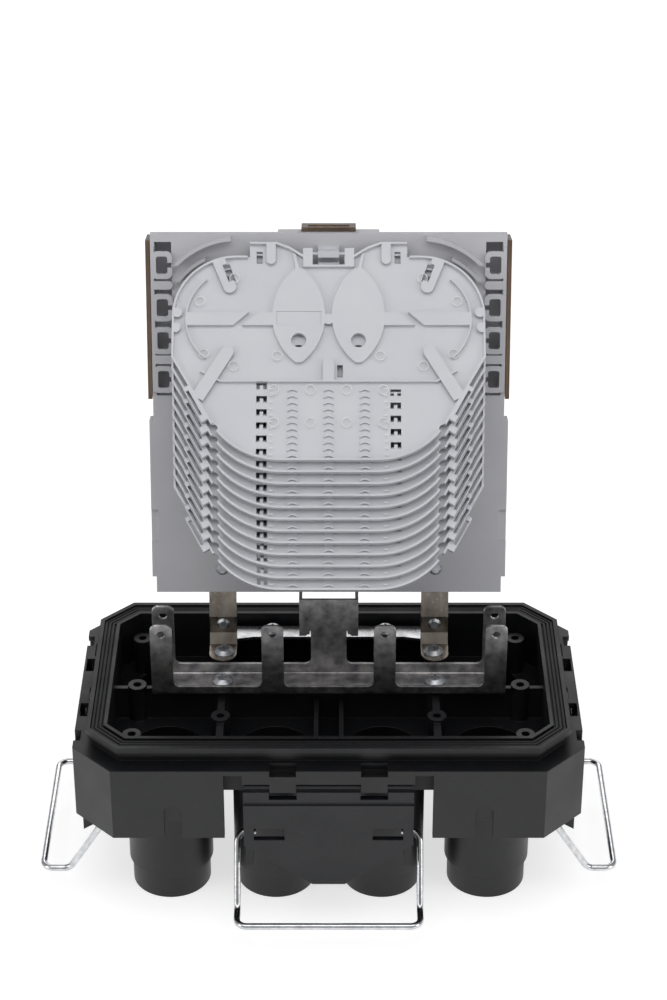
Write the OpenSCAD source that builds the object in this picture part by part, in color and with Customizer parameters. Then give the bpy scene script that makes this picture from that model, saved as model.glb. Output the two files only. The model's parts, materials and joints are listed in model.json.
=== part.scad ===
// Open fibre splice closure: base with cable ports, latches, organizer and a stack of splice trays.
// Millimetres, +Z up, front of the closure towards -Y, port ends at z = 0.

/* [Ports and tub] */
// Outside diameter of a cable port
port_d = 41; // [34:0.5:50]
// Wall of a cable port
port_wall = 3; // [2:0.1:4]
// Thickness of the closed end of a port
port_end = 2; // [1.6:0.1:2.2]
// Gap between neighbouring ports
port_gap = 10.5; // [8:0.5:14]
// Length of a port below the tub floor
port_len = 73; // [60:1:90]
// Height of the slimmer end ring of a port
port_ring_h = 14; // [10:0.5:18]
// Step between port and end ring
port_ring_step = 1.5; // [1:0.1:2.5]
// Room between the outer ports and the tub wall
port_room = 6; // [5.5:0.25:8]
// Depth of the tub, rim to floor
tub_depth = 26; // [22:0.5:32]
// Thickness of the floor and the tub wall
tub_wall = 3; // [2.4:0.1:4]
// Width of the sealing rim
rim_w = 10; // [9:0.25:12]
// Corner cut of the rim
rim_cut = 15.5; // [12:0.5:20]

/* [Skirt] */
// Step from the rim out to the skirt
skirt_step = 6.3; // [5.5:0.1:8]
// Height of the rim above the ledge
ledge_drop = 8.5; // [7:0.5:11]
// Height of the skirt below the ledge
skirt_h = 38.5; // [36:0.5:46]
// Thickness of the skirt and the ledge
skirt_t = 3; // [2.4:0.1:3.4]
// Corner cut of the skirt
skirt_cut = 19; // [16:0.5:21]

/* [Latches] */
// Width of the slot each side of a latch lever
slot_w = 9; // [8:0.25:11]
// Diameter of the latch wire
wire_d = 3.2; // [2.6:0.1:3.8]
// Length of a bail leg from its pivot to the bend
bail_leg = 37; // [32:0.5:42]
// Length of the cranked end of a bail
bail_crank = 13; // [11:0.5:15]
// Bend between leg and crank in degrees
bail_bend = 58; // [50:1:66]
// Lean of a resting bail from straight down
bail_rest = 32; // [26:1:36]
// Depth of the bail pivot behind the skirt face
pivot_in = 14; // [12.5:0.25:16]
// Thickness of a latch lever
lever_t = 3; // [2.6:0.1:3.6]
// Length of a lever below its hinge
lever_drop = 55.2; // [50:0.5:62]

/* [Mounting bracket] */
// Front to back size of the channel
bracket_d = 18.4; // [15:0.2:22]
// Height of the uprights
bracket_h = 39.6; // [34:0.5:46]
// Sheet thickness
sheet_t = 1.5; // [1.2:0.1:2]
// Width of an upright
upright_w = 10.5; // [9:0.25:13]
// Room between the channel and the side wall
bracket_room = 18.8; // [16:0.2:22]

/* [Organizer] */
// Lean of the organizer panel from upright
panel_lean = 14; // [8:1:20]
// Thickness of the organizer panel
panel_t = 3; // [2.4:0.1:3.6]
// Height of the panel's bottom edge above the rim
panel_rise = 22.5; // [18:0.5:30]
// Width of a side fibre trough
trough_w = 8; // [7:0.25:10]
// Depth of the rear compartment behind the panel
rear_d = 13; // [11:0.5:17]
// Width of a spring strap
strap_w = 13.4; // [11:0.2:16]
// Thickness of a spring strap
strap_t = 1; // [0.8:0.1:1.4]

/* [Splice trays] */
// Width of a tray
tray_w = 146; // [122:1:175]
// Length of a tray from its hinge to its front edge
tray_l = 102; // [90:1:122]
// Distance between tray hinges along the panel
tray_pitch = 5.7; // [5.2:0.1:6.8]
// Height of a tray
tray_h = 2.8; // [2.4:0.1:2.9]
// Angle between a resting tray and the panel in degrees
tray_open = 33; // [32:1:40]
// Thickness of a tray floor
tray_floor = 0.8; // [0.6:0.1:1.2]
// Thickness of a tray wall
tray_wall = 1; // [0.8:0.1:1.4]
// Distance between neighbouring splice sleeves
sleeve_pitch = 3.2; // [2.6:0.1:3.4]
// Distance between the two rows of holder slots
sleeve_l = 62; // [50:1:66]
// Distance of the tray hinge in front of the panel
hinge_out = 6; // [5.8:0.1:7.5]

/* [Fits] */
// Radial running clearance of the pivots
run_fit = 0.05; // [0.03:0.01:0.08]
// Gap between parts that stay apart
gap = 0.3; // [0.2:0.05:0.5]

/* [Hidden] */
$fn = 48;
eps = 0.01;
tray_count = 12;

// tub, rim and skirt
floor_z = port_len + tub_wall;
rim_z = floor_z + tub_depth;
ledge_z = rim_z - ledge_drop;
skirt_z = ledge_z - skirt_h;
tub_w = 4 * port_d + 3 * port_gap + 2 * port_room;
tub_d = 2 * port_d + port_gap + 2 * port_room;
rim_out_w = tub_w + 2 * rim_w;
rim_out_d = tub_d + 2 * rim_w;
skirt_out_w = rim_out_w + 2 * skirt_step;
skirt_out_d = rim_out_d + 2 * skirt_step;
port_pitch = port_d + port_gap;
port_rows = [-0.5, 0.5];
port_cols = [-1.5, -0.5, 0.5, 1.5];
groove_w = rim_w - 4;
groove_h = 4;
lip_w = 2.2;
boss_z = rim_z - 7;
rib_z = boss_z - 1.5;
boss_d = 9;
screw_d = 3.8;
rib_x = port_pitch;
post_x = tub_w / 2 - 11;
post_y = tub_d / 2 - 11.5;

// latch: distances inward from the skirt face, heights from the ledge
side_flat = skirt_out_d / 2 - skirt_cut;
latch_half = side_flat - 0.8;
lever_half = latch_half - slot_w;
rod_r = 1.4;
rod_in = 2.2;
rod_z = ledge_z - 10.1;
bar_z = ledge_z - 7.5;
tooth_x = [lever_half * 0.38, lever_half * 0.69];
lever_top = rod_z - 2;
lever_step = rod_z - 9;
lever_low = rod_z - 32;
lever_end = rod_z - lever_drop;
lever_tip = 7.7;
pivot_z = rod_z - 35;
cheek_out = lever_half - 0.6;
cheek_t = 3.6;
bail_half = lever_half + wire_d / 2 + 2;
bail_r = 5;
lap = 0.04;

// organizer frame
bracket_half = tub_w / 2 - bracket_room;
tray_lift = tray_open + panel_lean;
rack_bottom = 21.3 + tray_l * cos(tray_open);
hinge_top = rack_bottom + (tray_count - 1) * tray_pitch;
panel_h = hinge_top + 8.5;
panel_y = 37;
panel_z = rim_z + panel_rise;
guide_x = tray_w / 2 + 1.4;
panel_in = guide_x + trough_w;
panel_half = panel_in + 2;
cover_t = 2;
cover_half = panel_half + gap + cover_t;
base_half = panel_half + 2;
trough_low = 99.5;
trough_high = panel_h - 4;
cover_low = 97.5;
cover_hinge = [8, 101];
base_top = 87;
strap_x = port_pitch + 0.7;
strap_foot_y = port_pitch / 2;
clip_w = 10;
pin_r = 0.8;
tray_top = 5.5;

// ---- small helpers ----

// Octagonal outline with the given corner cut
module octagon(w, d, cut) {
    x = w / 2;
    y = d / 2;
    polygon([
        [-x + cut, -y], [x - cut, -y], [x, -y + cut], [x, y - cut],
        [x - cut, y], [-x + cut, y], [-x, y - cut], [-x, -y + cut]
    ]);
}

// Ring between an octagon grown by a and the same octagon grown by b
module rim_ring(a, b) {
    difference() {
        offset(delta = a) octagon(tub_w, tub_d, rim_cut - rim_w * 0.586);
        offset(delta = b) octagon(tub_w, tub_d, rim_cut - rim_w * 0.586);
    }
}

// Rectangle with rounded corners, from its lower left corner
module round_rect(x, y, w, h, r) {
    translate([x + r, y]) square([w - 2 * r, h]);
    translate([x, y + r]) square([w, h - 2 * r]);
    for (i = [r, w - r], j = [r, h - r])
        translate([x + i, y + j]) circle(r);
}

// Flat slab in the x-z plane, from y0 to y0 + t, drawn as an x-z outline
module slab(y0, t) {
    translate([0, y0 + t, 0]) rotate([90, 0, 0]) linear_extrude(t) children();
}

// Bar along x whose section is drawn in the y-z plane
module along_x(x0, len) {
    translate([x0, 0, 0]) rotate([90, 0, 90]) linear_extrude(len) children();
}

// Straight wire, children go on from its end
module run(len) {
    translate([0, 0, -lap]) cylinder(d = wire_d, h = len + 2 * lap);
    translate([0, 0, len]) children();
}

// Wire bend towards direction dir, children go on from its end
module bend(dir, angle) {
    r = bail_r;
    rotate([0, 0, dir]) {
        translate([r, 0, 0]) rotate([90, 0, 0]) rotate([0, 0, 180 - angle])
            rotate_extrude(angle = angle) translate([r, 0]) circle(d = wire_d - lap);
        translate([r - r * cos(angle), 0, r * sin(angle)])
            rotate([0, angle, 0]) rotate([0, 0, -dir]) children();
    }
}

// Pan head screw with a cross recess, seat at z = 0, shank down
module pan_screw(head_d, shank_d, len) {
    head_h = head_d * 0.3;
    difference() {
        union() {
            cylinder(d = head_d, h = head_h * 0.45);
            translate([0, 0, head_h * 0.45 - eps]) cylinder(d1 = head_d, d2 = head_d * 0.62, h = head_h * 0.55);
        }
        for (a = [0, 90])
            rotate([0, 0, a]) translate([-head_d * 0.25, -head_d * 0.05, head_h * 0.4])
                cube([head_d * 0.5, head_d * 0.1, head_h]);
    }
    translate([0, 0, -len]) cylinder(d = shank_d, h = len + eps);
}

// The four latch places: turn and distance of the skirt face
module latch_place(side) {
    turn = side == "front" ? 0 : side == "right" ? 90 : side == "back" ? 180 : -90;
    face = (side == "front" || side == "back") ? skirt_out_d / 2 : skirt_out_w / 2;
    rotate([0, 0, turn]) translate([0, -face, 0]) children();
}

// Frame of the organizer panel: x across, y into the panel, z up along it
module panel_place() {
    translate([0, panel_y, panel_z]) rotate([-panel_lean, 0, 0]) children();
}

// Frame of one tray: hinge axis along x at the origin, tray towards -y, top face +z
module tray_place(i) {
    panel_place() translate([0, -hinge_out, hinge_top - i * tray_pitch])
        rotate([90 - tray_open, 0, 0]) children();
}

// ---- base ----

module port_tube() {
    cylinder(d = port_d, h = floor_z - eps);
}

module port_places() {
    for (c = port_cols, r = port_rows)
        translate([c * port_pitch, r * port_pitch, 0]) children();
}

module boss_places() {
    for (x = [-rib_x, rib_x], y = [-strap_foot_y, 0, strap_foot_y])
        translate([x, y, 0]) children();
    for (x = [-post_x, post_x], y = [-post_y, 0, post_y])
        translate([x, y, 0]) children();
}

module latch_opening() {
    difference() {
        translate([-latch_half, -1, skirt_z - 1]) cube([2 * latch_half, skirt_t + 1.5, ledge_z - skirt_z - 1.5]);
        translate([-lever_half - 0.4, -2, bar_z]) cube([2 * lever_half + 0.8, skirt_t + 3, skirt_h]);
    }
}

module latch_teeth() {
    for (s = [-1, 1]) {
        x0 = s < 0 ? -tooth_x[1] : tooth_x[0];
        difference() {
            translate([x0, 0, rod_z - rod_r - 0.8])
                cube([tooth_x[1] - tooth_x[0], rod_in + rod_r + 0.9, bar_z - rod_z + rod_r + 0.8 + eps]);
            translate([x0 - 1, rod_in, rod_z]) rotate([0, 90, 0]) cylinder(r = rod_r + run_fit, h = 2 * lever_half);
            translate([x0 - 1, rod_in, rod_z - rod_r * 0.8]) cube([2 * lever_half, 9, rod_r * 1.6]);
        }
    }
}

module skirt_recess() {
    // two square pockets over the teeth, and the arched cable marks beside the latch
    for (s = [-1, 1]) {
        x0 = s < 0 ? -tooth_x[1] : tooth_x[0];
        translate([x0, -1, ledge_z - 3.2]) cube([tooth_x[1] - tooth_x[0], skirt_step + 1, ledge_drop]);
    }
}

module arch_marks() {
    arch_w = 8.4;
    arch_x = lever_half + slot_w + 24;
    for (s = [-1, 1]) translate([s * arch_x, 0, 0]) {
        translate([-arch_w / 2, -1, skirt_z - 1]) cube([arch_w, skirt_t + 3, 10]);
        slab(-1, 2.4) {
            translate([-arch_w / 2, skirt_z]) square([arch_w, 14.5]);
            translate([0, skirt_z + 14.5]) circle(d = arch_w);
        }
    }
}

module side_windows() {
    wall_x = rim_out_w / 2;
    for (s = [-1, 1]) {
        for (y = [-19, 19])
            translate([s * (wall_x + skirt_step / 2 + 0.2) - 1.9, y - 5.4, ledge_z - 16]) cube([3.8, 10.8, 20]);
        for (y = [-40, 40])
            translate([s * (wall_x + skirt_step - 1) - 2.2, y - 4, ledge_z - 5]) cube([4.4, 8, 8]);
        for (y = [-6, 32])
            translate([s * (wall_x + 0.9) - 0.9, y - 5.6, ledge_z - 5]) cube([1.8, 11.2, 8]);
    }
}

module base_body() {
    color("#1d1f24") {
        base_shell();
        // hinge hooks of the levers
        for (side = ["front", "back", "left", "right"]) latch_place(side) latch_teeth();
    }
}

module base_shell() {
    difference() {
        union() {
            // tub floor and wall
            translate([0, 0, port_len]) linear_extrude(tub_wall)
                offset(delta = tub_wall) octagon(tub_w, tub_d, rim_cut - rim_w * 0.586);
            translate([0, 0, port_len]) linear_extrude(rim_z - port_len) rim_ring(tub_wall, 0);
            // rim with its cove
            translate([0, 0, ledge_z - skirt_t]) linear_extrude(ledge_drop + skirt_t - 3) rim_ring(rim_w - 2.4, 0);
            translate([0, 0, rim_z - groove_h - 1.5]) linear_extrude(groove_h + 1.5 - 3) rim_ring(rim_w - 1.2, 0);
            translate([0, 0, rim_z - 3 - eps]) linear_extrude(3 + eps) rim_ring(rim_w, 0);
            // ledge and skirt
            translate([0, 0, ledge_z - skirt_t]) linear_extrude(skirt_t) difference() {
                octagon(skirt_out_w, skirt_out_d, skirt_cut);
                octagon(tub_w, tub_d, rim_cut - rim_w * 0.586);
            }
            translate([0, 0, skirt_z]) linear_extrude(skirt_h - eps) difference() {
                octagon(skirt_out_w, skirt_out_d, skirt_cut);
                offset(delta = -skirt_t) octagon(skirt_out_w, skirt_out_d, skirt_cut);
            }
            // ports
            port_places() {
                cylinder(d = port_d - 2 * port_ring_step, h = port_ring_h + 1);
                translate([0, 0, port_ring_h]) cylinder(d = port_d, h = port_len - port_ring_h + 1);
            }
            // ribs inside the tub
            translate([-tub_w / 2 - 1, -1.2, port_len + 1]) cube([tub_w + 2, 2.4, rib_z - port_len - 1]);
            for (x = [-rib_x, rib_x])
                translate([x - 1.75, -tub_d / 2 - 1, port_len + 1]) cube([3.5, tub_d + 2, rib_z - port_len - 1]);
            for (x = [-6, 6])
                translate([x - 1.1, -tub_d / 2 - 1, port_len + 1]) cube([2.2, tub_d + 2, rib_z - port_len - 5]);
            boss_places() translate([0, 0, port_len + 1]) cylinder(d = boss_d, h = boss_z - port_len - 1);
            for (x = [-rib_x / 2 - 2.4, rib_x / 2 + 2.4])
                translate([x, bar_y, port_len + 1]) cylinder(d = boss_d, h = boss_z - port_len - 1);
        }
        // seal groove
        translate([0, 0, rim_z - groove_h]) linear_extrude(groove_h + 1) rim_ring(rim_w - lip_w, rim_w - lip_w - groove_w);
        // port bores, closed at the break-out end
        port_places() translate([0, 0, port_end]) cylinder(d = port_d - 2 * port_wall, h = floor_z);
        // screw holes
        boss_places() translate([0, 0, floor_z]) cylinder(d = screw_d + 0.1, h = tub_depth);
        for (x = [-rib_x / 2 - 2.4, rib_x / 2 + 2.4])
            translate([x, bar_y, floor_z]) cylinder(d = screw_d + 0.1, h = tub_depth);
        for (side = ["front", "back", "left", "right"]) latch_place(side) latch_opening();
        for (side = ["front", "back"]) latch_place(side) {
            skirt_recess();
            arch_marks();
        }
        side_windows();
    }
}

module rim_seal() {
    color("#26282d")
    translate([0, 0, rim_z - groove_h]) {
        seal_out = rim_w - lip_w - 0.2;
        linear_extrude(2.2) rim_ring(seal_out, seal_out - groove_w + 0.4);
        for (k = [0:2]) {
            inset = 0.1 + k * (groove_w - 0.6) / 3;
            translate([0, 0, 2.2 - eps]) linear_extrude(1.1) rim_ring(seal_out - inset, seal_out - inset - 1.2);
        }
    }
}

// ---- latches ----

module lever() {
    tip = [lever_tip, lever_end];
    difference() {
        union() {
            // thin top, thick pull plate with the pointed end
            slab(0, lever_t - 1) translate([-lever_half, lever_step - 1])
                square([2 * lever_half, lever_top - lever_step + 1]);
            slab(-1, lever_t) polygon([
                [-lever_half, lever_step], [-lever_half, lever_low], [-tip[0], tip[1]],
                [tip[0], tip[1]], [lever_half, lever_low], [lever_half, lever_step]
            ]);
            // web up to the hinge rod
            translate([-lever_half + 0.4, rod_in - 0.9, lever_step])
                cube([2 * lever_half - 0.8, 1.8, rod_z - lever_step]);
            // cheeks that carry the bail
            for (s = [-1, 1])
                along_x(s < 0 ? -cheek_out : cheek_out - cheek_t, cheek_t) {
                    polygon([
                        [lever_t - 1.2, lever_step - 2], [pivot_in - 1, pivot_z + 8], [pivot_in + 3.6, pivot_z + 1],
                        [pivot_in + 3.6, pivot_z], [pivot_in, pivot_z - 3.6], [lever_t - 1.2, lever_low - 14]
                    ]);
                    translate([pivot_in, pivot_z]) circle(3.6);
                }
        }
        // notches for the hooks
        for (s = [-1, 1]) {
            x0 = s < 0 ? -tooth_x[1] : tooth_x[0];
            translate([x0 - gap, -3, rod_z - 6.2]) cube([tooth_x[1] - tooth_x[0] + 2 * gap, 9, 12]);
        }
        // pry windows
        for (s = [-1, 1])
            slab(-3, 8) translate([s * (lever_half * 0.7) - 7.2, lever_low + 3]) square([14.4, 6.8]);
        // bail bores
        translate([-lever_half, pivot_in, pivot_z]) rotate([0, 90, 0]) cylinder(d = wire_d + 2 * run_fit, h = 2 * lever_half);
    }
    translate([-lever_half + 0.4, rod_in, rod_z]) rotate([0, 90, 0]) cylinder(r = rod_r, h = 2 * lever_half - 0.8);
}

// One wire, from its left end inside the cheek round to its right end
module bail() {
    end_in = cheek_out - cheek_t - 1;
    straight = bail_half - end_in - bail_r;
    leg = bail_leg - bail_r - 2.8;
    crank = bail_crank - bail_r - 2.8;
    translate([0, pivot_in, pivot_z]) rotate([-bail_rest, 0, 0])
        translate([-end_in, 0, 0]) rotate([0, -90, 0])
        run(straight) bend(180, 90) run(leg) bend(-90, bail_bend) run(crank) bend(180, 90)
        run(2 * (bail_half - bail_r))
        bend(180, 90) run(crank) bend(-90, bail_bend) run(leg) bend(180, 90) run(straight);
}

module lever_front() { color("#24272d") latch_place("front") lever(); }
module lever_back() { color("#24272d") latch_place("back") lever(); }
module lever_left() { color("#24272d") latch_place("left") lever(); }
module lever_right() { color("#24272d") latch_place("right") lever(); }
module bail_front() { color("#c8cacc") latch_place("front") bail(); }
module bail_back() { color("#c8cacc") latch_place("back") bail(); }
module bail_left() { color("#c8cacc") latch_place("left") bail(); }
module bail_right() { color("#c8cacc") latch_place("right") bail(); }

// ---- mounting bracket ----

module upright_notch(x0, x1, z0, y0) {
    slab(y0, sheet_t + 4) round_rect(x0, z0, x1 - x0, bracket_h * 2, 3);
}

module mounting_bracket() {
    h = bracket_h + 4;
    half_d = bracket_d / 2;
    low_front = boss_z + 5;
    low_back = boss_z + 6.7;
    top = boss_z + bracket_h;
    inner_x = bracket_half * 0.253;
    neck = 8.6;
    tongue = 14.2;
    ear_z = boss_z + 26;
    color("#6b6b70")
    difference() {
        union() {
            // U section with bent corners
            along_x(-bracket_half, 2 * bracket_half) difference() {
                union() {
                    translate([-half_d, boss_z + 2.2]) square([bracket_d, h - 2.2]);
                    translate([-half_d + 2.2, boss_z]) square([bracket_d - 4.4, h]);
                    for (s = [-1, 1]) translate([s * (half_d - 2.2), boss_z + 2.2]) circle(2.2);
                }
                translate([-half_d + sheet_t, boss_z + 2.2]) square([bracket_d - 2 * sheet_t, h]);
                translate([-half_d + 2.2, boss_z + sheet_t]) square([bracket_d - 4.4, h]);
                for (s = [-1, 1]) translate([s * (half_d - 2.2), boss_z + 2.2]) circle(2.2 - sheet_t);
            }
            // ears folded back from the tongue
            for (s = [-1, 1])
                translate([s < 0 ? -tongue : tongue - sheet_t, half_d - 0.5, ear_z])
                    cube([sheet_t, 6.5, boss_z + h - ear_z]);
        }
        // front wall: four uprights
        upright_notch(-bracket_half + upright_w, -inner_x - upright_w, low_front, -half_d - 2);
        upright_notch(-inner_x, inner_x, low_front, -half_d - 2);
        upright_notch(inner_x + upright_w, bracket_half - upright_w, low_front, -half_d - 2);
        // back wall: two outer uprights and the tongue
        for (s = [-1, 1]) {
            x0 = s < 0 ? -bracket_half + upright_w : neck;
            x1 = s < 0 ? -neck : bracket_half - upright_w;
            slab(half_d - 3, 4.5) difference() {
                round_rect(x0, low_back, x1 - x0, 60, 3);
                translate([s < 0 ? x1 - (tongue - neck) : neck - eps, ear_z - 3])
                    square([tongue - neck + eps, 60]);
            }
            slab(half_d - 3, 4.5) translate([s < 0 ? -neck - 5 : neck, ear_z - 3]) difference() {
                translate([s < 0 ? -0.7 : 0, -1]) square([5.7, 4]);
                translate([s < 0 ? 0 : 5, 4]) circle(4.6);
                translate([s < 0 ? 0 : 0.6, 1]) square([4.4, 4]);
            }
        }
        // tops of the outer uprights and the front uprights are cut to height
        translate([-bracket_half - 1, -half_d - 1, top]) cube([2 * bracket_half + 2, 6, 20]);
        for (s = [-1, 1])
            translate([s < 0 ? -bracket_half - 1 : tongue + 1, -half_d, top]) cube([bracket_half - tongue, bracket_d + 1, 20]);
        // holes in the uprights and in the floor
        for (x = [-bracket_half + upright_w / 2, -inner_x - upright_w / 2, inner_x + upright_w / 2, bracket_half - upright_w / 2])
            translate([x, 0, top - 5]) rotate([90, 0, 0]) cylinder(d = 3.8, h = bracket_d);
        for (x = [-bracket_half + upright_w / 2, bracket_half - upright_w / 2])
            translate([x, bracket_d, top - 5]) rotate([90, 0, 0]) cylinder(d = 3.8, h = bracket_d);
        for (x = [-rib_x, rib_x]) translate([x, 0, boss_z - 1]) cylinder(d = screw_d + 0.4, h = 6);
        // rounded shoulders of the uprights
        for (x = [-bracket_half, -inner_x - upright_w, inner_x, bracket_half - upright_w])
            slab(-half_d - 2, bracket_d + 6) translate([x, top]) shoulder_cut();
    }
}

// Corner material that is cut away at the top of an upright
module shoulder_cut() {
    r = 3;
    difference() {
        translate([-1, -r]) square([upright_w + 2, r + 1]);
        translate([r, -r]) square([upright_w - 2 * r, r]);
        translate([r, -r]) circle(r);
        translate([upright_w - r, -r]) circle(r);
    }
}

module bracket_screw() {
    translate([0, 0, boss_z + sheet_t]) pan_screw(10, screw_d, 12);
}

module bracket_screw_left() { color("#d8d8da") translate([-rib_x, 0, 0]) bracket_screw(); }
module bracket_screw_right() { color("#d8d8da") translate([rib_x, 0, 0]) bracket_screw(); }

// ---- straps and cross bar ----

bar_y = tub_d / 2 - 8;
bar_half = strap_x + strap_w / 2;
rise_y = panel_y - 0.4;

// Point of the strap where it runs up along the back of the panel
function behind(h) = [
    panel_y + h * sin(panel_lean) + panel_t * cos(panel_lean),
    panel_z + h * cos(panel_lean) - panel_t * sin(panel_lean)
];

// Left normal of a run from a to b
function side_of(a, b) = let (d = b - a) [-d[1], d[0]] / norm(d);

// Points of a polyline moved sideways by t, with mitred corners
function mitred(p, t) = [
    for (i = [0:len(p) - 1])
        let (
            a = side_of(p[max(i - 1, 0)], p[max(i, 1)]),
            b = side_of(p[min(i, len(p) - 2)], p[min(i + 1, len(p) - 1)]),
            m = (a + b) / (1 + a * b)
        ) p[i] + m * t
];

// Strip of sheet of thickness t along a polyline, to its right
module strip(p, t) {
    q = mitred(p, -t);
    polygon(concat(p, [for (i = [len(q) - 1:-1:0]) q[i]]));
}

function strap_line() = let (
        foot_back = strap_foot_y + 8,
        low = behind(-14)
    ) [
        [strap_foot_y, boss_z + strap_t], [foot_back, boss_z + strap_t],
        [low[0], boss_z + strap_t + 5], low, behind(46)
    ];

module strap() {
    line = strap_line();
    difference() {
        union() {
            along_x(-strap_w / 2, strap_w) strip(line, strap_t);
            translate([0, strap_foot_y, boss_z]) cylinder(d = strap_w, h = strap_t);
        }
        translate([rib_x - strap_x, strap_foot_y, boss_z - 1]) cylinder(d = screw_d + 0.4, h = 4);
        translate([0, 0, rivet_z]) rotate([-90, 0, 0]) cylinder(d = rivet_d, h = 100);
        panel_place() for (h = rivet_rows) translate([0, 0, h]) rotate([-90, 0, 0]) cylinder(d = rivet_d, h = 20);
    }
}

rivet_d = 3.2;
rivet_z = boss_z + 11;
rivet_rows = [12, 34];

module strap_left() { color("#8d8176") mirror([1, 0, 0]) translate([strap_x, 0, 0]) strap(); }
module strap_right() { color("#8d8176") translate([strap_x, 0, 0]) strap(); }

module strap_screw() {
    translate([0, strap_foot_y, boss_z + strap_t]) pan_screw(10, screw_d, 12);
}

module strap_screw_left() { color("#d8d8da") translate([-rib_x, 0, 0]) strap_screw(); }
module strap_screw_right() { color("#d8d8da") translate([rib_x, 0, 0]) strap_screw(); }

// Y place of the strap's back face at the rivet
function strap_back() = let (l = strap_line(), a = l[2], b = l[3])
    a[0] + (b[0] - a[0]) * (rivet_z - a[1]) / (b[1] - a[1]) + strap_t;

module cross_bar() {
    tab_y = strap_back();
    lean = atan2(strap_line()[3][0] - strap_line()[2][0], strap_line()[3][1] - strap_line()[2][1]);
    color("#b9b9bd")
    difference() {
        union() {
            translate([-bar_half, bar_y - 4.8, boss_z]) cube([2 * bar_half, 9.8, sheet_t]);
            for (s = [-1, 1]) {
                linear_extrude_at(boss_z, sheet_t) polygon([
                    [s * bar_half, bar_y], [s * bar_half, tab_y + 0.2], [s * (strap_x - strap_w / 2), tab_y + 0.2],
                    [s * (strap_x - strap_w / 2 - 8), bar_y - 4.8], [s * (strap_x - strap_w / 2 - 8), bar_y]
                ]);
                translate([s * strap_x - strap_w / 2, tab_y + 0.02, rivet_z]) rotate([-lean, 0, 0])
                    translate([0, 0, boss_z - rivet_z + 0.4]) cube([strap_w, sheet_t, rivet_z - boss_z + 4]);
            }
        }
        for (s = [-1, 1]) {
            translate([s * (rib_x / 2 + 2.4), bar_y, boss_z - 1]) cylinder(d = screw_d + 0.4, h = 4);
            translate([s * strap_x, 0, rivet_z]) rotate([-90, 0, 0]) cylinder(d = rivet_d, h = 100);
        }
    }
}

module linear_extrude_at(z, t) {
    translate([0, 0, z]) linear_extrude(t) children();
}

module bar_screw() {
    translate([rib_x / 2 + 2.4, bar_y, boss_z + sheet_t]) pan_screw(10, screw_d, 12);
}

module bar_screw_left() { color("#d8d8da") mirror([1, 0, 0]) bar_screw(); }
module bar_screw_right() { color("#d8d8da") bar_screw(); }

// Blind rivet along +y: domed head in front, short tail behind
module rivet(grip) {
    rotate([-90, 0, 0]) {
        translate([0, 0, -1.2]) cylinder(d1 = 4.2, d2 = 6.4, h = 1.2);
        cylinder(d = rivet_d, h = grip + eps);
        translate([0, 0, grip]) cylinder(d = 4.6, h = 1.4);
    }
}

module strap_rivet() {
    translate([strap_x, strap_back() - strap_t, rivet_z]) rivet(strap_t + sheet_t + 0.1);
}

module strap_rivet_left() { color("#9aa5ad") mirror([1, 0, 0]) strap_rivet(); }
module strap_rivet_right() { color("#9aa5ad") strap_rivet(); }

module panel_rivets() {
    panel_place() for (h = rivet_rows)
        translate([strap_x, 0, h]) rivet(panel_t + strap_t);
}

module panel_rivets_left() { color("#9aa5ad") mirror([1, 0, 0]) panel_rivets(); }
module panel_rivets_right() { color("#9aa5ad") panel_rivets(); }

// ---- organizer ----

module organizer_panel() {
    color("#c3c3c8")
    panel_place() difference() {
        union() {
            // front plate: wider below the troughs
            slab(0, panel_t) {
                translate([-base_half, 8]) square([2 * base_half, base_top - 8]);
                translate([-base_half + 2, 0]) square([2 * base_half - 4, 9]);
                translate([-panel_half, base_top - 1]) square([2 * panel_half, panel_h - base_top + 1]);
            }
            // edge walls of the lower half
            for (s = [-1, 1])
                translate([s < 0 ? -base_half : base_half - 2, 0, 8]) cube([2, 9, base_top - 8]);
            translate([-base_half + 2, 0, 0]) cube([2 * base_half - 4, 6, 2]);
            // side boxes of the troughs
            for (s = [-1, 1]) {
                x0 = s < 0 ? -panel_half : guide_x - 2;
                translate([x0, 0, trough_low - 1.6]) cube([panel_half - guide_x + 2, rear_d - 1, trough_high - trough_low + 3.2]);
            }
            // top wall and catch bar of the rear cover
            translate([-panel_half, 0, panel_h - 3]) cube([2 * panel_half, 4.5, 3]);
            translate([-24, 0, panel_h - 3]) cube([48, 11.5, 3]);
        }
        // troughs, open to the front
        for (s = [-1, 1]) {
            x0 = s < 0 ? -panel_in : guide_x;
            translate([x0, -1, trough_low]) cube([trough_w, rear_d - 1.5, trough_high - trough_low]);
        }
        // pockets low on the edges
        for (s = [-1, 1])
            translate([s < 0 ? -base_half - 1 : base_half - 3.6, -1, 26]) cube([4.6, 2.4, 16]);
        // notches in the bottom wall for the straps
        for (s = [-1, 1])
            translate([s * strap_x - strap_w / 2 - gap, panel_t, -1]) cube([strap_w + 2 * gap, 8, 4]);
        // slot in front of the catch bar
        translate([-14.3, 2.4, panel_h - 5]) cube([28.6, 1.8, 8]);
        // pivot holes of the rear cover
        translate([-panel_half - 1, cover_hinge[0], cover_hinge[1]]) rotate([0, 90, 0])
            cylinder(d = 4 + 2 * run_fit, h = 2 * panel_half + 2);
        // rivet holes and rack holes
        for (s = [-1, 1], h = rivet_rows)
            translate([s * strap_x, -1, h]) rotate([-90, 0, 0]) cylinder(d = rivet_d, h = 9);
        for (z = rack_pegs)
            translate([0, -1, z]) rotate([-90, 0, 0]) cylinder(d = 4, h = 9);
    }
}

rack_pegs = [rack_bottom + 8, hinge_top - 10];

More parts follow.
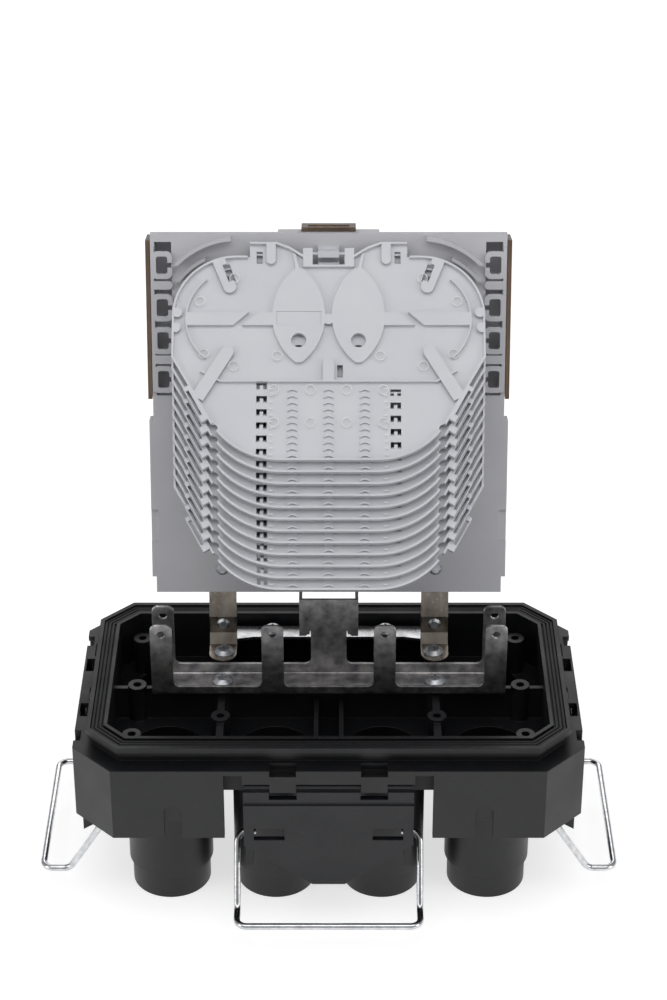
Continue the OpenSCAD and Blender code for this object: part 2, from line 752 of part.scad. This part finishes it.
module tray_rack() {
    back = 2.2;
    color("#cfd0d5")
    panel_place() {
        // backbone with two pegs into the panel
        translate([-clip_w / 2, -back, rack_bottom - 5]) cube([clip_w, back, hinge_top - rack_bottom + 8]);
        for (z = rack_pegs)
            translate([0, -eps, z]) rotate([-90, 0, 0]) cylinder(d = 4 - 2 * run_fit, h = panel_t);
        // one open hook for each tray pin
        for (i = [0:tray_count - 1])
            translate([-clip_w / 2, -hinge_out, hinge_top - i * tray_pitch]) difference() {
                translate([0, -1.6, -1.5]) cube([clip_w, hinge_out - back + 1.61, 3]);
                translate([-1, 0, 0]) rotate([0, 90, 0]) cylinder(r = pin_r + run_fit, h = clip_w + 2, $fn = 32);
                translate([-1, -pin_r * 0.8, 0]) cube([clip_w + 2, pin_r * 1.6, 4]);
            }
    }
}

// One side guide: a spine on the outer wall with retaining loops over the trough
module side_guide() {
    t = 1.6;
    span = trough_w + 2.4;
    loops = [trough_high - 17.5, trough_high - 38, trough_high - 54, trough_high - 73];
    panel_place() {
        for (z = loops) {
            slab(-t, t) difference() {
                round_rect(guide_x - 0.6, z, span, 13.2, 3);
                round_rect(guide_x + 1.8, z + 2.4, span - 5, 8.4, 1.2);
                translate([guide_x - 2, z + 5.4]) square([4.6, 2.4]);
            }
        }
        slab(-t, t) {
            round_rect(guide_x - 0.6, trough_high - 22.6, span, 4, 1.9);
            translate([guide_x - 0.6, trough_high - 58.8]) square([span, 4.2]);
        }
        slab(-t, t) translate([panel_in + 0.2, trough_low + 2]) square([1.6, trough_high - trough_low - 4]);
    }
}

module side_guide_left() { color("#bdbec3") mirror([1, 0, 0]) side_guide(); }
module side_guide_right() { color("#bdbec3") side_guide(); }

// Curved blades that lead the fibres round the top corner
module top_guide() {
    panel_place() {
        slab(-5, 5) difference() {
            intersection() {
                translate([43, hinge_top - 33]) difference() {
                    circle(40.6);
                    circle(38.8);
                }
                translate([46, hinge_top - 6]) square([31, 20]);
            }
        }
        slab(-4, 4) intersection() {
            translate([43, hinge_top - 35]) difference() {
                circle(36);
                circle(34.4);
            }
            translate([58, hinge_top - 14]) square([17, 20]);
        }
    }
}

module top_guide_left() { color("#c6c7cc") mirror([1, 0, 0]) top_guide(); }
module top_guide_right() { color("#c6c7cc") top_guide(); }

// Smoked cover over the rear compartment, hinged at its lower corners
module rear_cover() {
    top = panel_h - 3 - gap;
    back = rear_d + 1;
    color("#6f5a4a", 0.7)
    panel_place() {
        translate([-cover_half, back, cover_low]) cube([2 * cover_half, cover_t, top - cover_low]);
        // top wall, cut out round the side boxes of the troughs
        difference() {
            translate([-cover_half, 5, top - cover_t]) cube([2 * cover_half, back - 4, cover_t]);
            for (s = [-1, 1])
                translate([s < 0 ? -cover_half - 1 : guide_x - 2 - gap, 4, top - cover_t - 1])
                    cube([cover_half - guide_x + 3 + gap, rear_d - 5 + gap, cover_t + 2]);
        }
        for (s = [-1, 1]) {
            x0 = s < 0 ? -cover_half : cover_half - cover_t;
            translate([x0, 0.6, cover_low]) cube([cover_t, back + cover_t - 0.6, top - cover_low]);
            translate([s < 0 ? -panel_half - gap - eps : panel_half + gap + eps, cover_hinge[0], cover_hinge[1]])
                rotate([0, s < 0 ? 90 : -90, 0]) cylinder(d = 4, h = 2.1);
        }
        // loop that snaps over the catch bar
        translate([-12.9, 4.6, panel_h + gap]) difference() {
            cube([25.8, back + cover_t - 4.6, 1.8]);
            translate([3, 2.2, -1]) cube([19.8, 4.8, 4]);
        }
        translate([-12.9, back, top - 1]) cube([25.8, cover_t, 5]);
    }
}

// ---- splice tray, drawn flat: hinge axis at the origin, floor underside at z = 0 ----

arm_x = 12;
notch_x = 7.5;
notch_y = 6;
top_y = -1.4;
ear_x = 37;
corner_r = 30;
toe_r = 38;
taper = 29.7;
isle_x = 13.9;
isle_y = -31.1;
isle_w = 12.4;
isle_r = 30.4;
spool_y = -32.8;
spool_r = 25.8;
low_y = -tray_l + 38.8;
sleeve_rows = 11;

// Both sides of the middle line
module both() {
    children();
    mirror([1, 0]) children();
}

// Closed outline with exact corner arcs, moved inward by inset
module tray_shape(inset) {
    x = tray_w / 2;
    top_c = [x - corner_r, top_y - corner_r];
    toe_c = [x - 50.8, -tray_l + toe_r];
    toe_a = toe_c + (toe_r - inset) * [cos(taper), -sin(taper)];
    hip_y = toe_a[1] + (x - inset - toe_a[0]) / tan(taper);
    both() {
        polygon([
            [0, top_y - inset], [top_c[0], top_y - inset], [x - inset, top_c[1]], [x - inset, hip_y],
            toe_a, [toe_c[0], -tray_l + inset], [0, -tray_l + inset]
        ]);
        translate(top_c) circle(corner_r - inset);
        translate(toe_c) circle(toe_r - inset);
    }
}

// Entry channel beside the hinge, open towards the side
module entry(w, open) {
    both() polygon([
        [notch_x, top_y - 2.5], [ear_x + open, top_y - 2.5], [ear_x + open, tray_top - w],
        [24.4 + w / 2, tray_top - w], [18 + w / 2, 3 - w], [arm_x + w / 2, -0.9 - w], [notch_x, -2.9 - w]
    ]);
}

module tray_plan() {
    difference() {
        union() {
            tray_shape(0);
            entry(0, 0);
            both() flank();
        }
        translate([-notch_x, -notch_y]) square([2 * notch_x, 20]);
    }
    both() translate([notch_x, -notch_y - 1]) square([arm_x - notch_x, notch_y + 3.4]);
}

// Block on the slanted side that locks onto the tray below
module flank() {
    x = tray_w / 2;
    polygon([
        [x - 10, low_y - 1.5], [x - 5.6, low_y - 4], [x - 14.6, low_y - 20.5], [x - 19, low_y - 18]
    ]);
}

module flank_slot() {
    x = tray_w / 2;
    polygon([
        [x - 8.3, low_y - 5], [x - 7, low_y - 5.7], [x - 13.4, low_y - 17.4], [x - 14.7, low_y - 16.7]
    ]);
}

// Raised leaf that the fibres are coiled round
module isle() {
    translate([isle_x, isle_y]) intersection() {
        translate([isle_r - isle_w, 0]) circle(isle_r);
        translate([isle_w - isle_r, 0]) circle(isle_r);
        translate([-isle_w, -23.4]) square([2 * isle_w, 46.7]);
    }
}

// Walls seen from above, without the outer wall
module tray_walls() {
    both() {
        isle();
        polygon([[isle_x - 0.8, isle_y + 21], [isle_x + 1.2, isle_y + 21], [16.8, 0], [15.4, -0.8]]);
        // coil guide and the split bar between coil guide and leaf
        translate([tray_w / 2 - 32, spool_y]) intersection() {
            difference() {
                circle(spool_r);
                circle(spool_r - 0.8);
            }
            translate([0, -spool_r * 0.75]) square([spool_r + 1, spool_r * 1.5]);
        }
        polygon([[tray_w / 2 - 7, -29.6], [37.2, -29.6], [44.5, -36.1], [tray_w / 2 - 7, -36.1]]);
        polygon([[32.3, -29.6], [24.5, -29.6], [24.5, -36.1], [40.2, -36.1]]);
        // wall above the sleeve holder
        polygon([
            [0, low_y], [tray_w / 2 - 23, low_y], [tray_w / 2 - 14, low_y + 5.2],
            [tray_w / 2 - 13.4, low_y + 4.4], [tray_w / 2 - 22.8, low_y - 0.8], [0, low_y - 0.8]
        ]);
    }
}

// Tabs over the channels that keep the fibres down
module tray_tabs() {
    both() {
        tab([tray_w / 2 - 21, top_y - 1.4], [tray_w / 2 - 26.8, -17], 6);
        tab([27, tray_top - 0.6], [27, -3.4], 4.4);
        tab([tray_w / 2 - 12.4, low_y - 8.6], [tray_w / 2 - 26, low_y + 14], 6);
        translate([tray_w / 2 - 2.4, -29.7]) circle(2.4);
        translate([tray_w / 2 - 1.6, -37.2]) circle(2.4);
    }
    tab([0, low_y - 0.4], [0, low_y + 8], 5.4);
    translate([0, isle_y - 2]) circle(2.6);
}

// Straight tab of width w with a round end
module tab(a, b, w) {
    d = (b - a) / norm(b - a);
    n = [-d[1], d[0]] * w / 2;
    polygon([a + n, a - n, b - n, b + n]);
    translate(b) circle(w / 2 + 0.03);
}

module slot_places() {
    for (n = [0:5]) translate([-sleeve_l / 2, low_y - 2.3 - n * 2 * sleeve_pitch]) children();
    for (n = [0:4]) translate([sleeve_l / 2, low_y - 2.3 - sleeve_pitch - n * 2 * sleeve_pitch]) children();
}

// Bowed ribs that hold the sleeves apart
module sleeve_ribs() {
    for (x = [-sleeve_l * 0.27, 0, sleeve_l * 0.27], n = [0:sleeve_rows - 1])
        translate([x, low_y - 4 - n * sleeve_pitch]) intersection() {
            difference() {
                translate([0, -3.2]) circle(3.6);
                translate([0, -3.4]) circle(2.9);
            }
            translate([-2.3, -1.4]) square([4.6, 2]);
        }
}

module tray_windows() {
    both() {
        translate([tray_w / 2 - 29.5, -13.5]) rotate([0, 0, -20]) square([3.4, 9]);
        translate([31, -4.8]) square([2.8, 6]);
        translate([isle_x, -43.6]) circle(3.5);
        flank_slot();
        translate([tray_w / 2 - 20, low_y - 23]) circle(2);
    }
    translate([4, low_y + 2]) square([2.6, 6]);
    slot_places() difference() {
        translate([-2.4, -sleeve_pitch / 2]) square([4.9, sleeve_pitch]);
        translate([-0.8, -sleeve_pitch / 2]) square([1.6, sleeve_pitch * 0.6]);
    }
}

module tray() {
    difference() {
        union() {
            linear_extrude(tray_floor) tray_plan();
            linear_extrude(tray_h) {
                difference() {
                    tray_plan();
                    difference() {
                        union() {
                            tray_shape(tray_wall);
                            entry(tray_wall, 1);
                        }
                        translate([-arm_x, -notch_y - 1]) square([2 * arm_x, 20]);
                    }
                }
                tray_walls();
            }
            translate([0, 0, tray_floor - eps]) linear_extrude(1.1) sleeve_ribs();
            translate([0, 0, tray_h - 0.7]) linear_extrude(0.7) intersection() {
                tray_tabs();
                tray_plan();
            }
        }
        translate([0, 0, -1]) linear_extrude(tray_h + 2) tray_windows();
        // blank label field on the left leaf
        translate([-isle_x - 10.4, isle_y - 5, tray_h - 0.4]) cube([20.8, 6.8, 1]);
    }
    // hinge pin
    translate([-notch_x - 0.5, 0, tray_h / 2]) rotate([0, 90, 0]) cylinder(r = pin_r, h = 2 * notch_x + 1, $fn = 32);
}

module tray_at(i) { tray_place(i) translate([0, 0, -tray_h / 2]) tray(); }

module tray_01() { color("#cdced4") tray_at(0); }
module tray_02() { color("#cdced4") tray_at(1); }
module tray_03() { color("#cdced4") tray_at(2); }
module tray_04() { color("#cdced4") tray_at(3); }
module tray_05() { color("#cdced4") tray_at(4); }
module tray_06() { color("#cdced4") tray_at(5); }
module tray_07() { color("#cdced4") tray_at(6); }
module tray_08() { color("#cdced4") tray_at(7); }
module tray_09() { color("#cdced4") tray_at(8); }
module tray_10() { color("#cdced4") tray_at(9); }
module tray_11() { color("#cdced4") tray_at(10); }
module tray_12() { color("#cdced4") tray_at(11); }

base_body();
rim_seal();
lever_front();
lever_back();
lever_left();
lever_right();
bail_front();
bail_back();
bail_left();
bail_right();
mounting_bracket();
bracket_screw_left();
bracket_screw_right();
strap_left();
strap_right();
strap_screw_left();
strap_screw_right();
cross_bar();
bar_screw_left();
bar_screw_right();
strap_rivet_left();
strap_rivet_right();
panel_rivets_left();
panel_rivets_right();
organizer_panel();
tray_rack();
side_guide_left();
side_guide_right();
top_guide_left();
top_guide_right();
rear_cover();
tray_01();
tray_02();
tray_03();
tray_04();
tray_05();
tray_06();
tray_07();
tray_08();
tray_09();
tray_10();
tray_11();
tray_12();
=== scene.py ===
# %% [markdown]
# # Open fibre splice closure
# The object is the lower half of a splice closure with its cover off: a black
# moulded base with eight cable ports and four pull-down latches, a steel bracket,
# and a grey organizer that carries a fan of twelve splice trays. The shapes come
# ready made from the frame, so this script is about surfaces, the small moulded
# details that repeat, the light and the camera.

import json
import math

import bmesh
import bpy
from mathutils import Matrix, Vector


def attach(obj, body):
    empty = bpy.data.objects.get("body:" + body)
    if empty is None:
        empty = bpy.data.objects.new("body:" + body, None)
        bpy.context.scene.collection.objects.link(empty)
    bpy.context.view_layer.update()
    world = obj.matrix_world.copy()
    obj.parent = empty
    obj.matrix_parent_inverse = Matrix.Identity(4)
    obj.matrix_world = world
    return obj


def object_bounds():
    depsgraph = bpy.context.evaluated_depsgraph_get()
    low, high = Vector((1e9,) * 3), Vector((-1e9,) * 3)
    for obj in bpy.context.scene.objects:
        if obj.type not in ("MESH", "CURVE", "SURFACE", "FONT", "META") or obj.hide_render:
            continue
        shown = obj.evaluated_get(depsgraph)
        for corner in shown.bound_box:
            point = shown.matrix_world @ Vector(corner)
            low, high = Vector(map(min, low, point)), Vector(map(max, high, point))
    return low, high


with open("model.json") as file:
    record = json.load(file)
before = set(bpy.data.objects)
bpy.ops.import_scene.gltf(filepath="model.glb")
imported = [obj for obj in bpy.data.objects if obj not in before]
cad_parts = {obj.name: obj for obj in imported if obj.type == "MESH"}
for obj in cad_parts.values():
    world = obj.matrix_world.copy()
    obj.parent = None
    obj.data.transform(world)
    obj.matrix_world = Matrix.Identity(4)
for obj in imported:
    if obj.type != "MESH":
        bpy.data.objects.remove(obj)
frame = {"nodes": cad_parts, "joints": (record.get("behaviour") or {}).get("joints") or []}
cad_low, cad_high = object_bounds()
nodes = frame["nodes"]
MM = 0.001
print("loaded", len(nodes), "pieces, size", [round(v, 3) for v in (Vector(cad_high) - Vector(cad_low))])

# %% [markdown]
# ## Camera
# A catalogue view: a long lens from the front, looking down by about thirty
# degrees, so that the tub, the bracket and the faces of the trays all show. A long
# lens keeps the left and right walls close to parallel.

# %% Camera
camera_data = bpy.data.cameras.new("catalogue_camera")
camera_data.sensor_width = 36
camera_data.lens = 91.4
camera_data.clip_end = 20
camera = bpy.data.objects.new("catalogue_camera", camera_data)
camera.location = (2.3 * MM, -1014.7 * MM, 796.4 * MM)
camera.rotation_euler = (math.radians(90 - 30.5), 0, 0)
bpy.context.scene.collection.objects.link(camera)
bpy.context.scene.camera = camera
print("camera lens", camera_data.lens, "mm")

# %% [markdown]
# ## Light
# Product shots of dark and pale plastic together need broad, soft lamps: a large
# one overhead and slightly in front, and two weaker ones at the sides that draw a
# clean edge along the black walls and the steel wires. The world is a plain grey
# for the light and white for the eye, so that metal reflects a white studio.

# %% Lamps
def lamp(name, place, target, width, height, watts):
    """One rectangular soft box aimed at a point."""
    data = bpy.data.lights.new(name, "AREA")
    data.shape = "RECTANGLE"
    data.size, data.size_y, data.energy = width, height, watts
    box = bpy.data.objects.new(name, data)
    box.location = place
    box.rotation_euler = (Vector(target) - Vector(place)).to_track_quat("-Z", "Y").to_euler()
    bpy.context.scene.collection.objects.link(box)
    return box


lamp("overhead_box", (0.0, -0.55, 1.5), (0, 0.05, 0.12), 1.5, 1.0, 8.5)
lamp("left_box", (-1.3, -0.7, 0.65), (0, 0, 0.12), 0.7, 1.1, 5)
lamp("right_box", (1.3, -0.7, 0.65), (0, 0, 0.12), 0.7, 1.1, 5)
lamp("rear_box", (0.0, 1.2, 0.9), (0, 0, 0.15), 1.2, 0.5, 3)
print("lamps", [light.name for light in bpy.data.lights])

# %% World
world = bpy.data.worlds.new("studio")
bpy.context.scene.world = world
world.use_nodes = True
sky = world.node_tree
sky.nodes.clear()


def add(tree, kind, links=None, **settings):
    """Adds a node, sets its settings, then fills its inputs by name or number with a value or a socket."""
    node = tree.nodes.new(kind)
    for key, value in settings.items():
        setattr(node, key, value)
    for key, value in (links or {}).items():
        if isinstance(value, bpy.types.NodeSocket):
            tree.links.new(value, node.inputs[key])
        else:
            node.inputs[key].default_value = value
    return node


seen = add(sky, "ShaderNodeLightPath")
white_ray = add(sky, "ShaderNodeMath",
                {0: seen.outputs["Is Camera Ray"], 1: seen.outputs["Is Transmission Ray"]}, operation="MAXIMUM")
level = add(sky, "ShaderNodeMapRange", {"Value": white_ray.outputs[0], "To Min": 0.34, "To Max": 1.0})
backdrop = add(sky, "ShaderNodeBackground", {"Color": (1, 1, 1, 1), "Strength": level.outputs[0]})
add(sky, "ShaderNodeOutputWorld", {"Surface": backdrop.outputs[0]})
bpy.context.scene.view_settings.view_transform = "Standard"
print("world", world.name)

# %% [markdown]
# ## Colour and material helpers
# Colours are written as the hex codes that a paint chart would give and turned to
# linear light by one function. Every finish here is a Principled surface whose
# roughness and relief come from noise in Object coordinates, with real sizes in
# millimetres, so that the pattern stays on the piece when it moves.

# %% Helpers
def linear(code):
    """Hex colour to linear RGBA."""
    parts = [int(code[i:i + 2], 16) / 255 for i in (1, 3, 5)]
    return [c / 12.92 if c <= 0.04045 else ((c + 0.055) / 1.055) ** 2.4 for c in parts] + [1.0]


def finish(name, colours, spread, mottle, roughness, sheen, grain, depth_mm, edge_mm, **fixed):
    """Principled material on Object coordinates.

    mottle, sheen and grain are (size in mm, detail, stretch) of the noises for the
    colour, the roughness and the relief. spread is the part of the mottle that runs
    from the first colour to the second. edge_mm rounds the edges for the light.
    """
    made = bpy.data.materials.new(name)
    made.use_nodes = True
    tree = made.node_tree
    tree.nodes.clear()
    place = add(tree, "ShaderNodeTexCoord").outputs["Object"]
    clouds = []
    for size_mm, detail, stretch in (mottle, sheen, grain):
        mapped = add(tree, "ShaderNodeMapping", {"Vector": place, "Scale": stretch})
        cloud = add(tree, "ShaderNodeTexNoise",
                    {"Vector": mapped.outputs[0], "Scale": 1 / (size_mm * MM), "Detail": detail})
        clouds.append(cloud.outputs["Fac"])
    blend = add(tree, "ShaderNodeMapRange", {"Value": clouds[0], "From Min": spread[0], "From Max": spread[1]})
    colour = add(tree, "ShaderNodeMix",
                 {0: blend.outputs[0], 6: linear(colours[0]), 7: linear(colours[1])}, data_type="RGBA")
    rough = add(tree, "ShaderNodeMapRange",
                {"Value": clouds[1], "From Min": 0.3, "From Max": 0.7, "To Min": roughness[0], "To Max": roughness[1]})
    relief = {"Height": clouds[2], "Strength": 1.0, "Distance": depth_mm * MM}
    if edge_mm:
        relief["Normal"] = add(tree, "ShaderNodeBevel", {"Radius": edge_mm * MM}, samples=4).outputs[0]
    links = {"Base Color": colour.outputs[2], "Roughness": rough.outputs[0],
             "Normal": add(tree, "ShaderNodeBump", relief).outputs[0]}
    links.update({key.replace("_", " "): value for key, value in fixed.items()})
    shader = add(tree, "ShaderNodeBsdfPrincipled", links)
    add(tree, "ShaderNodeOutputMaterial", {"Surface": shader.outputs[0]})
    return made


def coat(name, skin):
    """Gives a frame piece its finish."""
    slots = nodes[name].material_slots
    for slot in slots:
        slot.material = skin
    if not slots:
        nodes[name].data.materials.append(skin)


EVEN = (1, 1, 1)
print("helpers ready")

# %% [markdown]
# ## Black polypropylene
# The base and its latch levers are injection moulded in glass filled
# polypropylene. The mould is lightly eroded, which leaves a matt skin with a soft
# sheen at low angles. Handling adds faint paler scuffs on it.

# %% Black plastics
def black_plastic(name, dark, light, rough):
    """Matt black moulding: 0.7 mm eroded grain, scuffs that run along the walls."""
    return finish(name, (dark, light), (0.55, 0.8), (3.5, 6, (1, 1, 4)), (rough - 0.05, rough + 0.07),
                  (18, 4, EVEN), (0.7, 2, EVEN), 0.03, 0.45, IOR=1.49)


base_skin = black_plastic("eroded_polypropylene_black", "#0b0c0f", "#16181c", 0.42)
lever_skin = black_plastic("eroded_polypropylene_lever", "#0f1014", "#1d1f24", 0.46)
seal_skin = black_plastic("moulded_seal_rubber", "#08090b", "#111215", 0.55)
coat("base_body", base_skin)
coat("rim_seal", seal_skin)
for side in ("front", "back", "left", "right"):
    coat("lever_" + side, lever_skin)
print("black skins", base_skin.name, lever_skin.name, seal_skin.name)

# %% [markdown]
# ## Steels
# Four steels sit close together and read apart by their finish. The channel is
# stainless sheet with the cloudy pickled skin of cut blanks. The cross bar is
# bright zinc. The straps are blue-tempered spring strip that has turned warm, and
# the latch wires are drawn stainless rod, almost a mirror with a faint draw line.

# %% Steels
def steel(name, dark, light, rough, cloud_mm, contrast, stretch=EVEN, edge=0.25):
    """Sheet or wire: clouds of cloud_mm in the colour, a nine times finer draw line in the relief."""
    fine = (cloud_mm / 9, 3, stretch)
    return finish(name, (dark, light), (0.5 - contrast, 0.5 + contrast), (cloud_mm, 6, stretch),
                  (rough - 0.06, rough + 0.1), fine, fine, 0.012, edge, Metallic=1.0)


bracket_steel = steel("pickled_stainless_sheet", "#77767a", "#cdcbc9", 0.34, 5.0, 0.24)
bar_steel = steel("bright_zinc_sheet", "#9fa0a3", "#d8d8da", 0.3, 7.0, 0.2)
strap_steel = steel("tempered_spring_strip", "#7b736b", "#b5aca2", 0.33, 9.0, 0.22, (1, 1, 0.3))
screw_steel = steel("zinc_plated_screw", "#94979b", "#c6c8cb", 0.38, 2.0, 0.2)
wire_steel = steel("drawn_stainless_wire", "#b3b5b8", "#dfe0e2", 0.16, 3.0, 0.25, EVEN, 0.0)
for name in nodes:
    if "screw" in name or "rivet" in name:
        coat(name, screw_steel)
    if name.startswith("bail_"):
        coat(name, wire_steel)
    if name in ("strap_left", "strap_right"):
        coat(name, strap_steel)
coat("mounting_bracket", bracket_steel)
coat("cross_bar", bar_steel)
print("steels", bracket_steel.name, bar_steel.name, strap_steel.name)

# %% [markdown]
# ## Grey tray plastic
# Trays and organizer are moulded in pale grey flame-retardant plastic from a
# polished mould. The trays are given a touch lighter grey than the organizer: this is
# painted light, standing in for light that passes through their thin floors. A very
# small waviness keeps the large flat faces from looking like paper.

# %% Grey plastics
def grey_plastic(name, dark, light, rough, edge):
    """Polished moulding: 30 mm clouds, 1.1 mm waviness a hundredth of a millimetre deep."""
    grain = (1.1, 2, EVEN)
    return finish(name, (dark, light), (0.3, 0.7), (30, 3, EVEN), (rough - 0.04, rough + 0.05),
                  grain, grain, 0.012, edge, IOR=1.5)


# the tray grey is lighter than the organizer grey by painted light, for light passing through the thin tray floors
tray_skin = grey_plastic("polished_tray_plastic", "#c9cad0", "#cfd0d5", 0.4, 0.18)
organizer_skin = grey_plastic("satin_organizer_plastic", "#bdbdc2", "#c3c3c7", 0.45, 0.4)
for name in nodes:
    if name.startswith("tray_"):
        coat(name, tray_skin)
    if "guide" in name or name == "organizer_panel":
        coat(name, organizer_skin)
print("grey skins", tray_skin.name, organizer_skin.name)

# %% [markdown]
# ## Smoked cover
# The cover on the back of the organizer is brown translucent polycarbonate. It
# lets a little light through, so it is a Principled surface with transmission, and
# it is rough enough inside to hide the clips behind it.

# %% Smoked plastic
haze = (12, 3, EVEN)
smoked = finish("smoked_polycarbonate", ("#6a5647", "#79634f"), (0.3, 0.7), haze, (0.18, 0.26), haze, haze,
                0.01, 0.3, Transmission_Weight=0.55, IOR=1.58)
coat("rear_cover", smoked)
print("cover", smoked.name)

# %% [markdown]
# ## Moulding details that repeat
# A moulded tray shows where the ejector pins pushed it out of the mould: faint
# round witness rings between the sleeve ribs. Beside the slots a short raised tick
# marks every sleeve place. Both are the same small shape put down many times, so a
# node tree places one shape on a list of points, and its sizes are inputs.

# %% Repeat tree
def repeat_tree(name, draw):
    """Node tree that puts the shape made by draw on every incoming point."""
    tree = bpy.data.node_groups.new(name, "GeometryNodeTree")
    tree.interface.new_socket("Points", in_out="INPUT", socket_type="NodeSocketGeometry")
    for size in ("Width", "Depth", "Height"):
        tree.interface.new_socket(size, in_out="INPUT", socket_type="NodeSocketFloat")
    tree.interface.new_socket("Finish", in_out="INPUT", socket_type="NodeSocketMaterial")
    tree.interface.new_socket("Geometry", in_out="OUTPUT", socket_type="NodeSocketGeometry")
    given = add(tree, "NodeGroupInput").outputs
    spread = add(tree, "GeometryNodeInstanceOnPoints", {"Points": given["Points"], "Instance": draw(tree, given)})
    real = add(tree, "GeometryNodeRealizeInstances", {0: spread.outputs[0]})
    painted = add(tree, "GeometryNodeSetMaterial", {"Geometry": real.outputs[0], "Material": given["Finish"]})
    add(tree, "NodeGroupOutput", {0: painted.outputs[0]})
    return tree


def grow(tree, points, width, depth, height, finish):
    """Mesh of the tree's shape on every point, sizes in metres."""
    seed = bpy.data.meshes.new("points")
    seed.from_pydata(points, [], [])
    holder = bpy.data.objects.new("points", seed)
    bpy.context.scene.collection.objects.link(holder)
    repeat = holder.modifiers.new("repeat", "NODES")
    repeat.node_group = tree
    values = {"Width": width, "Depth": depth, "Height": height, "Finish": finish}
    for socket in tree.interface.items_tree:
        if socket.in_out == "INPUT" and socket.name in values:
            repeat[socket.identifier] = values[socket.name]
    graph = bpy.context.evaluated_depsgraph_get()
    made = bpy.data.meshes.new_from_object(holder.evaluated_get(graph))
    holder.modifiers.remove(repeat)
    bpy.data.objects.remove(holder)
    return made


def joined(name, meshes, place):
    """One object at the origin from several meshes, moved to their place."""
    shell = bmesh.new()
    for part in meshes:
        shell.from_mesh(part)
    bmesh.ops.transform(shell, matrix=place, verts=shell.verts)
    bmesh.ops.recalc_face_normals(shell, faces=shell.faces)
    whole = bpy.data.meshes.new(name)
    shell.to_mesh(whole)
    shell.free()
    whole.materials.append(meshes[0].materials[0])
    piece = bpy.data.objects.new(name, whole)
    bpy.context.scene.collection.objects.link(piece)
    return piece

# %% [markdown]
# ### Rings and ticks
# A ring is a square bar swept round a circle. A tick is a small block.

# %% Shapes to repeat
def ring(tree, given):
    across = add(tree, "ShaderNodeMath", {0: given["Width"], 1: 0.5}, operation="MULTIPLY")
    path = add(tree, "GeometryNodeCurvePrimitiveCircle", {"Resolution": 20, "Radius": across.outputs[0]})
    bar = add(tree, "GeometryNodeCurvePrimitiveQuadrilateral", {"Width": given["Depth"], "Height": given["Height"]})
    return add(tree, "GeometryNodeCurveToMesh", {"Curve": path.outputs[0], "Profile Curve": bar.outputs[0]}).outputs[0]


def tick(tree, given):
    size = add(tree, "ShaderNodeCombineXYZ", {0: given["Width"], 1: given["Depth"], 2: given["Height"]})
    return add(tree, "GeometryNodeMeshCube", {"Size": size.outputs[0]}).outputs[0]


ring_tree = repeat_tree("witness_rings", ring)
tick_tree = repeat_tree("sleeve_ticks", tick)
print("trees", ring_tree.name, tick_tree.name)

# %% [markdown]
# ### Marks on every tray
# A tray is drawn flat, with its hinge along x, its front towards -y and its floor
# top a little above zero. The same marks are then turned to the resting slope and
# put at each hinge, and each set rides on its own tray.

# %% Tray marks
joint_place = {joint["name"]: joint["pos_m"] for joint in frame["joints"]}
TRAY_SLOPE = math.radians(43)
FLOOR_TOP = 0.8 * MM
SLEEVE_PITCH = 3.2 * MM
HOLDER_TOP = -63.2 * MM
ejector_pins = ((8.4, -67.6), (8.4, -83.6), (25.3, -67.6), (25.3, -83.6),
                (44, -12.5), (60, -24), (58, -50), (44, -56), (24, -51))
ring_spots = [(side * x * MM, y * MM, FLOOR_TOP) for side in (-1, 1) for x, y in ejector_pins]
tick_spots = [(side * 26.6 * MM, HOLDER_TOP - 4 * MM - step * SLEEVE_PITCH, FLOOR_TOP)
              for side in (-1, 1) for step in range(11)]
rings = grow(ring_tree, ring_spots, 4.6 * MM, 0.35 * MM, 0.22 * MM, tray_skin)
ticks = grow(tick_tree, tick_spots, 1.6 * MM, 0.4 * MM, 0.3 * MM, tray_skin)
for count in range(1, 13):
    body = "tray_%02d" % count
    place = Matrix.Translation(joint_place[body + "_hinge"]) @ Matrix.Rotation(TRAY_SLOPE, 4, "X")
    marks = joined("marks_" + body, [rings, ticks], place)
    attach(marks, body)
print("marks a tray:", len(ring_spots), "rings,", len(tick_spots), "ticks")

# %% [markdown]
# ## Floor
# A white sheet under the object. Seen directly it is close to pure white, as a
# lit sweep of paper is, and it keeps the soft contact shadow of the ports.

# %% Floor
sheet = bpy.data.meshes.new("paper_sweep")
sheet.from_pydata([(-3, -3, 0), (3, -3, 0), (3, 3, 0), (-3, 3, 0)], [], [(0, 1, 2, 3)])
floor = bpy.data.objects.new("paper_sweep", sheet)
floor.location.z = cad_low[2] - 0.0002
bpy.context.scene.collection.objects.link(floor)
paper = bpy.data.materials.new("white_paper")
paper.use_nodes = True
page = paper.node_tree
page.nodes.clear()
ray = add(page, "ShaderNodeLightPath")
direct = add(page, "ShaderNodeMath",
             {0: ray.outputs["Is Camera Ray"], 1: ray.outputs["Is Glossy Ray"]}, operation="MAXIMUM")
matt = add(page, "ShaderNodeBsdfDiffuse", {"Color": (0.62, 0.62, 0.62, 1)})
strength = add(page, "ShaderNodeMath", {0: direct.outputs[0], 1: 0.66}, operation="MULTIPLY")
glow = add(page, "ShaderNodeEmission", {"Color": (1, 1, 1, 1), "Strength": strength.outputs[0]})
both = add(page, "ShaderNodeAddShader", {0: matt.outputs[0], 1: glow.outputs[0]})
add(page, "ShaderNodeOutputMaterial", {"Surface": both.outputs[0]})
floor.data.materials.append(paper)
print("floor at", round(floor.location.z, 4))
